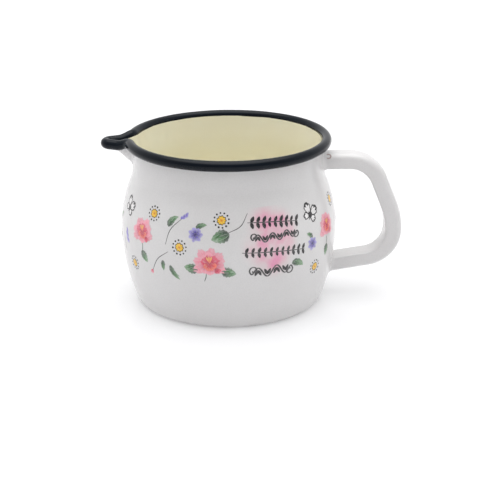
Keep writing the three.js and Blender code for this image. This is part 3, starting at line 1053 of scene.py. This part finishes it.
@dataclass
class FlowerBand:
    """The band of flowers printed round the belly, drawn stroke by stroke."""

    profile: PotProfile
    film: float = 0.000012
    step: float = 0.008
    weld_distance: float = 2e-6
    shift_range: float = 40.0
    bare_cover: float = 0.004
    sheets: dict[Sheet, Mesh] = field(default_factory=dict)
    rng: random.Random = field(default_factory=lambda: random.Random(11))

    # -- laying strokes on the pot

    def laid(self, spot: Spot, u: float, v: float, lift: float) -> Vector:
        """Returns the place on the belly of a flat point near a spot, all in millimetres."""
        r, z, normal = self.profile.climbed(spot.height * MM, v * MM)
        angle = math.radians(spot.angle) + u * MM / r
        out = Vector((
            math.sin(angle) * math.cos(normal),
            -math.cos(angle) * math.cos(normal),
            math.sin(normal),
        ))
        return Vector((r * math.sin(angle), -r * math.cos(angle), z)) + out * lift * MM

    def sheet(self, sheet: Sheet) -> Mesh:
        """Returns a colour run's mesh, with its pigment and stroke layers."""
        if sheet not in self.sheets:
            mesh = bmesh.new()
            mesh.verts.layers.float_color.new("pigment")
            mesh.loops.layers.uv.new("stroke")
            self.sheets[sheet] = mesh
        return self.sheets[sheet]

    def brush(
        self,
        sheet: Sheet,
        spot: Spot,
        cells: tuple[int, int],
        shape: Callable[[float, float], Flat],
        paint: Callable[[float, float], tuple[Colour, float]],
        over: int = 0,
    ) -> None:
        """Lays one brush stroke: a small grid bent to its shape and wrapped on the pot.

        Args:
            sheet: the colour run that it belongs to.
            spot: where it lies.
            cells: how many cells it has along and across.
            shape: gives a flat point from along (0 to 1) and across (-1 to 1).
            paint: gives a colour and its cover from the same two.
            over: how many strokes it lies above the run's lowest.
        """
        mesh = self.sheet(sheet)
        pigment = mesh.verts.layers.float_color["pigment"]
        stroke = mesh.loops.layers.uv["stroke"]
        made = bmesh.ops.create_grid(mesh, x_segments=cells[0], y_segments=cells[1], size=0.5)
        lift = sheet.value[1] + over * self.step
        shift = self.rng.random() * self.shift_range
        faces = {face for vert in made["verts"] for face in vert.link_faces}
        for face in faces:
            for loop in face.loops:
                loop[stroke].uv = (loop.vert.co.x + shift, loop.vert.co.y + shift)
        for vert in made["verts"]:
            along = vert.co.x + 0.5
            across = vert.co.y * 2.0
            colour, cover = paint(along, across)
            vert[pigment] = (*colour, cover)
            u, v = shape(along, across)
            vert.co = self.laid(spot, u, v, lift)
        bmesh.ops.remove_doubles(mesh, verts=made["verts"], dist=self.weld_distance)

    def blade(
        self,
        sheet: Sheet,
        spot: Spot,
        length: float,
        width: float,
        turn: float,
        colours: tuple[Pigment, Pigment],
        start: Flat = (0.0, 0.0),
        bend: float = 0.0,
        fullness: float = 1.0,
        frill: float = -1.0,
        teeth: int = 0,
        soft: float = 0.25,
        over: int = 0,
    ) -> None:
        """Lays a pointed leaf, or a round-ended petal.

        Args:
            sheet: the colour run.
            spot: the motif's place.
            length: from root to tip.
            width: at the widest place.
            turn: the way it points, in degrees anticlockwise from +U.
            colours: at the root and at the tip.
            start: where its root lies from the spot.
            bend: how far it curls over its length, in radians.
            fullness: above 1 it is widest towards the tip, below 1 towards the root.
            frill: a petal's waved end, as a share of the length; below 0 it is a leaf.
            teeth: how many teeth each edge has.
            soft: how much the cover thins out at the edges.
            over: how many strokes it lies above the run's lowest.
        """
        root, tip = (pigment.value for pigment in colours)
        way = math.radians(turn)
        tint = 1.0 + self.rng.uniform(-0.10, 0.10)
        phase = self.rng.uniform(0.0, math.tau)
        along_cells = max(6, round(length / 0.8), teeth * 3)
        across_cells = max(4, round(width / 0.9))

        def shape(along: float, across: float) -> Flat:
            """Bends and widens the blade."""
            half = width / 2
            reach = length * along
            if frill < 0.0:
                half *= math.sin(math.pi * along**fullness) ** 0.75
            else:
                half *= 0.18 + 0.82 * math.sin(math.pi / 2 * along**0.8)
                wave = math.cos(3.0 * math.pi * across + phase)
                reach *= 1.0 - 0.30 * across**2 * along + frill * along * wave
            if teeth:
                bite = (along * teeth) % 1.0
                half *= 1.0 + 0.30 * abs(across) ** 3 * (0.5 - bite)
            turned = bend * along
            x = reach * math.cos(turned / 2)
            y = reach * math.sin(turned / 2)
            x -= half * across * math.sin(turned)
            y += half * across * math.cos(turned)
            return (
                start[0] + x * math.cos(way) - y * math.sin(way),
                start[1] + x * math.sin(way) + y * math.cos(way),
            )

        def paint(along: float, across: float) -> tuple[Colour, float]:
            """Runs the colour from root to tip and thins it at the edges."""
            colour = mixed(root, tip, smoothstep(along, 0.1, 0.95))
            cover = 1.0 - soft * max(abs(across) ** 3, smoothstep(along, 0.6, 1.0))
            return tuple(min(1.0, c * tint) for c in colour), cover

        self.brush(sheet, spot, (along_cells, across_cells), shape, paint, over)

    def line(
        self,
        sheet: Sheet,
        spot: Spot,
        points: Sequence[Flat],
        width: float,
        pigment: Pigment,
        taper: float = 0.5,
        swell: float = 0.0,
        over: int = 0,
    ) -> None:
        """Lays a thin brush line along a smooth curve.

        Args:
            sheet: the colour run.
            spot: the motif's place.
            points: the curve's points from the spot.
            width: the line's width.
            pigment: its colour.
            taper: how much thinner it is at its ends.
            swell: how much thicker it is where it runs up or down the pot.
            over: how many strokes it lies above the run's lowest.
        """
        spine = [Vector(p) for p in points]
        spine = [spine[0] * 2 - spine[1], *spine, spine[-1] * 2 - spine[-2]]
        spans = len(points) - 1
        length = sum((b - a).length for a, b in zip(spine[1:-2], spine[2:-1]))

        def centre(along: float) -> tuple[Vector, Vector]:
            """Returns the curve's point and its direction."""
            span = min(int(along * spans), spans - 1)
            t = along * spans - span
            a, b, c, d = spine[span:span + 4]
            point = 0.5 * (2 * b + (c - a) * t + (2 * a - 5 * b + 4 * c - d) * t**2
                           + (3 * b - a - 3 * c + d) * t**3)
            way = 0.5 * ((c - a) + 2 * (2 * a - 5 * b + 4 * c - d) * t
                         + 3 * (3 * b - a - 3 * c + d) * t**2)
            return point, way.normalized()

        def shape(along: float, across: float) -> Flat:
            """Gives the line its width."""
            point, way = centre(along)
            half = width / 2 * (1.0 - taper * (2.0 * along - 1.0) ** 2)
            half *= 1.0 + swell * abs(way.y)
            return point.x - way.y * half * across, point.y + way.x * half * across

        def paint(along: float, across: float) -> tuple[Colour, float]:
            """Gives the line one colour."""
            return pigment.value, 1.0 - 0.2 * abs(across)

        cells = max(4, spans * 4, round(length / 0.6))
        self.brush(sheet, spot, (cells, 2), shape, paint, over)

    def dot(self, sheet: Sheet, spot: Spot, at: Flat, radius: float, pigment: Pigment,
            over: int = 0) -> None:
        """Lays a round dot."""

        def shape(along: float, across: float) -> Flat:
            """Squeezes the grid into a disc."""
            x = 2.0 * along - 1.0
            longest = max(abs(x), abs(across), 1e-6) / max(math.hypot(x, across), 1e-6)
            return at[0] + radius * x * longest, at[1] + radius * across * longest

        self.brush(sheet, spot, (4, 4), shape, lambda *_: (pigment.value, 1.0), over)

    # -- motifs

    def leaf(self, spot: Spot, length: float, width: float, turn: float,
             bend: float = 0.0, teeth: int = 5, over: int = 0) -> None:
        """Draws a leaf, dark at its root, with a light side and a midrib."""
        self.blade(Sheet.LEAVES, spot, length, width, turn,
                   (Pigment.DARK_LEAF, Pigment.PALE_LEAF), bend=bend, fullness=0.72,
                   teeth=teeth, soft=0.30, over=over)
        self.blade(Sheet.LEAVES, spot, length * 0.86, width * 0.34, turn + 8.0,
                   (Pigment.LEAF, Pigment.PALE_LEAF), bend=bend, fullness=0.8,
                   soft=0.4, over=over + 1)
        self.blade(Sheet.LEAVES, spot, length * 0.80, width * 0.10, turn,
                   (Pigment.DARK_LEAF, Pigment.LEAF), bend=bend, fullness=0.6,
                   soft=0.2, over=over + 2)

    def peony(self, spot: Spot, size: float, turn: float = 0.0) -> None:
        """Draws a full ruffled flower seen from the side, with a bud at its foot."""
        rings = (
            (7, 0.54, 0.34, -20.0, 200.0, (Pigment.ROSE, Pigment.BLUSH), 0.06, 0.20),
            (3, 0.34, 0.32, 222.0, 318.0, (Pigment.DEEP_ROSE, Pigment.BLUSH), 0.05, 0.15),
            (5, 0.43, 0.30, -4.0, 184.0, (Pigment.DEEP_ROSE, Pigment.BLUSH), 0.05, 0.10),
            (4, 0.33, 0.26, 25.0, 155.0, (Pigment.DEEP_ROSE, Pigment.ROSE), 0.07, 0.10),
            (4, 0.21, 0.18, 190.0, 350.0, (Pigment.DEEP_ROSE, Pigment.CORAL), 0.05, 0.10),
        )
        over = 0
        for count, length, width, low, high, colours, frill, soft in rings:
            for i in range(count):
                share = i / (count - 1)
                wobble = self.rng.uniform(-6.0, 6.0)
                grown = self.rng.uniform(0.90, 1.10)
                self.blade(Sheet.PEONIES, spot, size * length * grown, size * width,
                           turn + low + (high - low) * share + wobble, colours,
                           start=(0.0, -size * 0.08), frill=frill,
                           bend=self.rng.uniform(-0.25, 0.25), soft=soft, over=over + i % 3)
            over += 3
        for lean in (-20.0, 2.0, 24.0):
            self.blade(Sheet.PEONIES, spot, size * 0.24, size * 0.05, turn + 96.0 + lean,
                       (Pigment.CORAL, Pigment.YOLK), start=(0.0, -size * 0.02),
                       fullness=1.3, soft=0.2, over=over)
        for lean in (-22.0, 0.0, 22.0):
            self.blade(Sheet.PEONIES, spot, size * 0.19, size * 0.13, turn - 52.0 + lean,
                       (Pigment.DEEP_ROSE, Pigment.ROSE), start=(size * 0.17, -size * 0.18),
                       frill=0.05, soft=0.10, over=over)

    def daisy(self, spot: Spot, size: float) -> None:
        """Draws a small yellow flower, outlined in ink, with a ring of dots round it."""
        petals = 9
        for i in range(petals):
            turn = 360.0 * i / petals + self.rng.uniform(-4.0, 4.0)
            self.blade(Sheet.DAISIES, spot, size * 0.36, size * 0.22, turn,
                       (Pigment.INK, Pigment.INK), frill=0.0, soft=0.0)
            self.blade(Sheet.DAISIES, spot, size * 0.31, size * 0.15, turn,
                       (Pigment.YOLK, Pigment.YOLK), frill=0.0, soft=0.0, over=1 + i % 2)
        for i in range(6):
            self.blade(Sheet.DAISIES, spot, size * 0.16, size * 0.12, 60.0 * i + 15.0,
                       (Pigment.AMBER, Pigment.YOLK), fullness=1.2, soft=0.1, over=3)
        dots = 12
        for i in range(dots):
            turn = math.tau * i / dots + 0.15
            away = size * 0.52
            self.dot(Sheet.DAISIES, spot, (away * math.cos(turn), away * math.sin(turn)),
                     size * self.rng.uniform(0.058, 0.072), Pigment.INK)

    def violet(self, spot: Spot, size: float, turn: float = 0.0) -> None:
        """Draws a small violet flower with a dark eye."""
        for i in range(7):
            way = turn + 360.0 * i / 7 + self.rng.uniform(-6.0, 6.0)
            self.blade(Sheet.VIOLETS, spot, size * 0.50, size * 0.34, way,
                       (Pigment.DEEP_VIOLET, Pigment.LILAC), frill=0.07, soft=0.20, over=i % 3)
        for i in range(5):
            self.blade(Sheet.VIOLETS, spot, size * 0.28, size * 0.16, turn + 72.0 * i + 20.0,
                       (Pigment.DEEP_VIOLET, Pigment.VIOLET), frill=0.05, soft=0.1, over=3)
        self.dot(Sheet.VIOLETS, spot, (0.0, 0.0), size * 0.06, Pigment.DEEP_VIOLET, over=4)

    def lavender(self, spot: Spot, length: float, turn: float) -> None:
        """Draws a spike of small lilac buds."""
        way = math.radians(turn)
        for i in range(5):
            along = length * 0.16 * i
            start = (along * math.cos(way), along * math.sin(way))
            lean = (18.0, -16.0)[i % 2]
            self.blade(Sheet.VIOLETS, spot, length * 0.44, length * 0.26, turn + lean,
                       (Pigment.VIOLET, Pigment.LILAC), start=start, fullness=1.1,
                       soft=0.25, over=i % 3)

    def butterfly(self, spot: Spot, size: float, turn: float) -> None:
        """Draws a butterfly in ink: four veined wings, a body and two feelers."""
        wings = ((44.0, 0.60, 0.44), (-24.0, 0.40, 0.34), (118.0, 0.60, 0.42), (186.0, 0.40, 0.32))
        for way, length, width in wings:
            self.blade(Sheet.BUTTERFLIES, spot, size * length, size * width, turn + way,
                       (Pigment.INK, Pigment.INK), frill=0.04, soft=0.0)
            for lean, reach in ((-17.0, 0.52), (0.0, 0.60), (17.0, 0.52)):
                self.blade(Sheet.BUTTERFLIES, spot, size * length * reach,
                           size * width * 0.27, turn + way + lean,
                           (Pigment.PAPER, Pigment.PAPER),
                           start=self._ahead(size * length * 0.26, turn + way + lean),
                           frill=0.0, soft=0.0, over=1)
        self.blade(Sheet.BUTTERFLIES, spot, size * 0.46, size * 0.07, turn + 78.0,
                   (Pigment.INK, Pigment.INK), start=self._ahead(-size * 0.2, turn + 78.0),
                   soft=0.0, over=2)
        for lean in (-22.0, 18.0):
            tip = self._ahead(size * 0.42, turn + 80.0 + lean)
            self.line(Sheet.BUTTERFLIES, spot, [self._ahead(size * 0.2, turn + 80.0), tip],
                      0.22, Pigment.INK, over=2)

    @staticmethod
    def _ahead(distance: float, degrees: float) -> Flat:
        """Returns the flat point a distance away in one direction."""
        way = math.radians(degrees)
        return distance * math.cos(way), distance * math.sin(way)

    def flat_between(self, spot: Spot, other: Spot) -> Flat:
        """Returns where another spot lies from a spot, in flat millimetres."""
        r = self.profile.radius_at((spot.height + other.height) / 2 * MM) / MM
        return math.radians(other.angle - spot.angle) * r, other.height - spot.height

    def stem(self, spot: Spot, end: Spot, sag: float, width: float = 0.45,
             pigment: Pigment = Pigment.DARK_LEAF) -> None:
        """Draws a bowed stem between two spots."""
        u, v = self.flat_between(spot, end)
        length = math.hypot(u, v)
        aside = (-v / length * sag, u / length * sag)
        middle = (u / 2 + aside[0], v / 2 + aside[1])
        self.line(Sheet.STEMS, spot, [(0.0, 0.0), middle, (u, v)], width, pigment)

    def herb_row(self, spot: Spot, end: Spot, tall: float, count: int) -> None:
        """Draws a row of ink: a thin stem with pairs of full brush leaves along it."""
        u, v = self.flat_between(spot, end)
        tilt = math.degrees(math.atan2(v, u))
        self.line(Sheet.INK, spot, [(0.0, 0.0), (u * 0.5, v * 0.5 + 0.5), (u, v)], 0.6,
                  Pigment.INK, over=1)
        for i in range(count):
            share = (i + 0.5) / count
            root = (u * share, v * share + 0.5 * math.sin(math.pi * share))
            grown = tall * self.rng.uniform(0.85, 1.1)
            for side in (1.0, -1.0):
                self.blade(Sheet.INK, spot, grown * 0.56, grown * 0.30, tilt + side * 52.0,
                           (Pigment.INK, Pigment.INK), start=root, bend=0.5 * side,
                           fullness=0.9, soft=0.0)

    def scroll_row(self, spot: Spot, end: Spot, swing: float, waves: int) -> None:
        """Draws a row of ink: a waving tendril with curled ends and a leaf in each wave."""
        u, v = self.flat_between(spot, end)
        steps = waves * 10
        points = []
        for i in range(steps + 1):
            share = i / steps
            points.append((u * share, v * share + swing * math.sin(math.tau * waves * share)))
        for side, (x, y) in ((1.0, points[0]), (-1.0, points[-1])):
            curl = []
            for i in range(9):
                turn = math.radians(-60.0 + 50.0 * i)
                away = swing * (0.95 - 0.08 * i)
                curl.append((x - side * away * math.cos(turn) + side * 0.3,
                             y + side * (away * math.sin(turn) + swing * 0.6)))
            points = curl[::-1] + points if side > 0.0 else points + curl
        self.line(Sheet.INK, spot, points, 0.62, Pigment.INK, taper=0.3, swell=0.8, over=1)
        for i in range(waves * 2):
            share = (i + 0.5) / (waves * 2)
            side = 1.0 if i % 2 == 0 else -1.0
            root = (u * share, v * share + side * swing * 0.6)
            for turn in (-side * 62.0, -side * 118.0):
                self.blade(Sheet.INK, spot, swing * 1.45, swing * 0.62, turn,
                           (Pigment.INK, Pigment.INK), start=root, fullness=0.9, soft=0.0)

    def wash(self, spot: Spot, width: float, height: float) -> None:
        """Lays the soft pink wash behind the ink rows."""
        pools = ((0.02, 0.05, 0.42, 0.9), (0.30, 0.28, 0.38, 0.55), (-0.30, -0.16, 0.40, 0.5),
                 (-0.14, 0.40, 0.40, 0.6), (0.10, -0.38, 0.38, 0.75), (0.40, -0.02, 0.32, 0.5))

        def shape(along: float, across: float) -> Flat:
            """Spreads the grid over the wash's box."""
            return (along - 0.5) * width * 1.3, across / 2 * height * 1.3

        def paint(along: float, across: float) -> tuple[Colour, float]:
            """Adds up soft pools with a ragged edge."""
            x = (along - 0.5) * 2.6
            y = across * 1.3
            ragged = noise.fractal(Vector((x * 2.4, y * 2.4, spot.angle)), 1.0, 2.0, 4)
            total = 0.0
            for px, py, spread, strength in pools:
                away = math.hypot(x - px * 1.6, y - py * 1.6) / spread
                total += strength * math.exp(-away * away) * (0.9 + 0.8 * ragged)
            fade = smoothstep(math.hypot(x, y), 1.28, 0.7)
            cover = min(0.80, max(0.0, total) * 0.8) * fade
            colour = mixed(Pigment.BLUSH.value, Pigment.WASH.value, min(1.0, cover * 1.3))
            return colour, cover

        self.brush(Sheet.WASH, spot, (56, 60), shape, paint)
        mesh = self.sheet(Sheet.WASH)
        pigment = mesh.verts.layers.float_color["pigment"]
        bare = [
            face for face in mesh.faces
            if max(vert[pigment][3] for vert in face.verts) < self.bare_cover
        ]
        bmesh.ops.delete(mesh, geom=bare, context="FACES")

    # -- the whole band

    def half_band(self, turn: float) -> None:
        """Draws the motifs of half the pot, carried round by an angle in degrees."""

        def at(angle: float, height: float) -> Spot:
            """Returns a spot in this half."""
            return Spot(angle, height).turned(turn)

        self.wash(at(21.7, 53.7), 34.0, 40.0)
        self.herb_row(at(9.6, 64.9), at(38.6, 62.0), 6.4, 9)
        self.scroll_row(at(12.5, 55.8), at(36.5, 56.4), 2.2, 3)
        self.herb_row(at(6.4, 48.6), at(41.6, 45.4), 6.2, 11)
        self.scroll_row(at(12.0, 36.2), at(32.0, 37.0), 2.8, 2)

        for angle, height, size in ((-43.2, 65.5, 7.6), (-3.8, 66.5, 7.8), (-25.6, 50.1, 7.8),
                                    (-59.0, 32.1, 7.4), (50.6, 31.5, 7.4), (74.0, 64.4, 7.4)):
            self.daisy(at(angle, height), size)

        self.butterfly(at(-67.5, 62.0), 13.0, -14.0)
        self.butterfly(at(48.0, 62.4), 13.4, -16.0)

        self.peony(at(-50.5, 54.0), 16.6, 8.0)
        self.stem(at(-50.2, 47.5), at(-50.6, 41.5), 0.4)
        self.leaf(at(-50.8, 42.4), 7.6, 5.0, -52.0)

        self.peony(at(-9.6, 43.0), 17.6)
        self.stem(at(-11.5, 36.8), at(-12.6, 31.6), 0.3)
        self.leaf(at(-15.6, 38.2), 8.4, 5.6, 172.0)
        self.leaf(at(-4.0, 38.2), 8.4, 5.6, -12.0)

        self.peony(at(62.6, 53.2), 16.0, -6.0)
        self.stem(at(61.8, 46.5), at(61.4, 41.5), 0.3)
        self.leaf(at(61.5, 42.0), 7.2, 4.6, -96.0)

        self.lavender(at(-68.0, 50.8), 9.0, -72.0)
        self.stem(at(-70.5, 44.0), at(-69.0, 36.0), -1.0, 0.4)

        self.leaf(at(-32.6, 60.4), 8.6, 3.6, 84.0, bend=-1.25, teeth=4)
        self.stem(at(-33.8, 50.3), at(-25.6, 66.0), 2.0, 0.42, Pigment.INK)
        self.lavender(at(-25.9, 65.4), 5.6, 38.0)

        self.violet(at(-17.1, 58.2), 8.4)
        self.leaf(at(-17.0, 61.4), 6.6, 2.8, 52.0, bend=-1.1, teeth=3, over=2)
        self.violet(at(47.7, 46.5), 7.8)
        self.leaf(at(47.9, 49.8), 5.8, 2.6, 118.0, bend=0.9, teeth=3, over=2)

        self.stem(at(9.9, 69.8), at(-0.6, 59.4), 2.2, 0.42, Pigment.INK)
        self.leaf(at(0.2, 59.4), 10.6, 7.0, 200.0)

        self.stem(at(-32.2, 46.4), at(-43.2, 32.0), -2.0, 0.42, Pigment.INK)
        for lean in (-16.0, 12.0):
            self.blade(Sheet.PEONIES, at(-43.0, 33.4), 3.0, 1.5, 252.0 + lean,
                       (Pigment.ROSE, Pigment.BLUSH))
        self.leaf(at(-35.4, 40.8), 6.4, 2.8, -98.0, bend=0.3, teeth=3)
        self.leaf(at(-31.2, 38.8), 10.0, 3.0, -76.0, bend=0.8, teeth=4)
        self.leaf(at(33.4, 38.6), 8.8, 4.2, 14.0, bend=-1.2, teeth=4)

        self.lavender(at(87.0, 44.0), 8.0, 76.0)
        self.stem(at(87.0, 44.0), at(84.5, 31.5), 1.2, 0.42)
        self.leaf(at(85.8, 36.2), 6.0, 2.8, 24.0, bend=0.5, teeth=3)
        self.leaf(at(-82.0, 52.0), 7.4, 3.2, 62.0, bend=-0.9, teeth=4)
        self.daisy(at(-84.0, 41.0), 7.4)

    def build(self) -> None:
        """Draws both halves and lays each colour run as a piece with its own finish."""
        for turn in (0.0, 180.0):
            self.half_band(turn)
        looks = {
            Sheet.WASH: (0.12, 0.10),
            Sheet.STEMS: (0.10, 0.10),
            Sheet.LEAVES: (0.42, 0.16),
            Sheet.PEONIES: (0.38, 0.14),
            Sheet.VIOLETS: (0.34, 0.16),
            Sheet.DAISIES: (0.14, 0.08),
            Sheet.BUTTERFLIES: (0.08, 0.10),
            Sheet.INK: (0.10, 0.14),
        }
        for sheet, mesh in self.sheets.items():
            streak, grain = looks[sheet]
            glaze = PrintedGlaze(sheet.value[0], WHITE, streak=streak, grain=grain)
            piece = add_piece(sheet.value[0], mesh, glaze.material())
            film = piece.modifiers.new("film", "SOLIDIFY")
            film.thickness = self.film
            film.offset = -1.0


# ------------------------------------------------------------------ the studio


@dataclass(frozen=True)
class Studio:
    """A plain glossy white floor, a soft tent of light and the camera."""

    camera_place: tuple[float, float, float] = (0.0, -0.6626, 0.2758)
    camera_tilt: float = math.radians(20.59)
    camera_turn: float = math.radians(1.085)
    camera_roll: float = math.radians(0.17)
    lens: float = 84.9
    floor_size: float = 4.0
    front_light: float = 0.42
    side_light: float = 1.0
    overhead_light: float = 3.0
    front_span: Flat = (-0.95, 0.1)
    overhead_span: Flat = (0.70, 0.97)
    floor_drop: float = 0.00004
    floor_colour: Colour = (0.62, 0.62, 0.63)
    floor_roughness: float = 0.09
    floor_glow: float = 0.30

    def camera(self) -> None:
        """Sets up the camera, a little above the rim and in front of the pot."""
        data = bpy.data.cameras.new("camera")
        data.lens = self.lens
        data.sensor_width = 36.0
        data.clip_start = 0.01
        camera = bpy.data.objects.new("camera", data)
        camera.location = self.camera_place
        tilted = Matrix.Rotation(math.pi / 2 - self.camera_tilt, 3, "X")
        facing = (Matrix.Rotation(-self.camera_turn, 3, "Z") @ tilted).to_quaternion()
        camera.rotation_mode = "QUATERNION"
        camera.rotation_quaternion = facing @ Quaternion((0.0, 0.0, 1.0), -self.camera_roll)
        bpy.context.scene.collection.objects.link(camera)
        bpy.context.scene.camera = camera

    def floor(self) -> None:
        """Lays the floor: a white, faintly glowing, glossy sheet."""
        mesh = bmesh.new()
        under = Matrix.Translation((0.0, 0.0, -self.floor_drop))
        bmesh.ops.create_grid(mesh, x_segments=1, y_segments=1, size=self.floor_size,
                              matrix=under)
        data = bpy.data.meshes.new("floor")
        mesh.to_mesh(data)
        mesh.free()
        surface = Surface("white_floor")
        for name, value in (("Base Color", (*self.floor_colour, 1.0)),
                            ("Roughness", self.floor_roughness),
                            ("Emission Color", (1.0, 1.0, 1.0, 1.0)),
                            ("Emission Strength", self.floor_glow)):
            surface.shader.inputs[name].default_value = value
        data.materials.append(surface.material)
        floor = bpy.data.objects.new("floor", data)
        bpy.context.scene.collection.objects.link(floor)

    def tent(self) -> None:
        """Lights the scene all round: dim towards the front, bright above and behind."""
        world = bpy.data.worlds.new("tent")
        bpy.context.scene.world = world
        nodes = Nodes(world)
        split = nodes.node("ShaderNodeSeparateXYZ")
        nodes.join(nodes.node("ShaderNodeTexCoord").outputs["Generated"], split.inputs[0])
        front = nodes.span(split.outputs[1], *self.front_span, self.front_light, self.side_light)
        above = nodes.span(split.outputs[2], *self.overhead_span, 0.0, self.overhead_light)
        background = nodes.node("ShaderNodeBackground")
        nodes.join(nodes.calc("ADD", front, above), background.inputs["Strength"])
        output = nodes.node("ShaderNodeOutputWorld")
        nodes.join(background.outputs[0], output.inputs[0])

    def build(self) -> None:
        """Sets up the camera, the floor and the light."""
        self.camera()
        self.floor()
        self.tent()
        bpy.context.scene.view_settings.view_transform = "Standard"


def main() -> None:
    """Builds the pot, its handle, its print and the studio."""
    logging.basicConfig(level=logging.INFO, format="%(message)s")
    Studio().build()
    pot = PotBody()
    pot.build()
    Handle(pot.profile).build()
    FlowerBand(pot.profile).build()


if __name__ == "__main__":
    main()
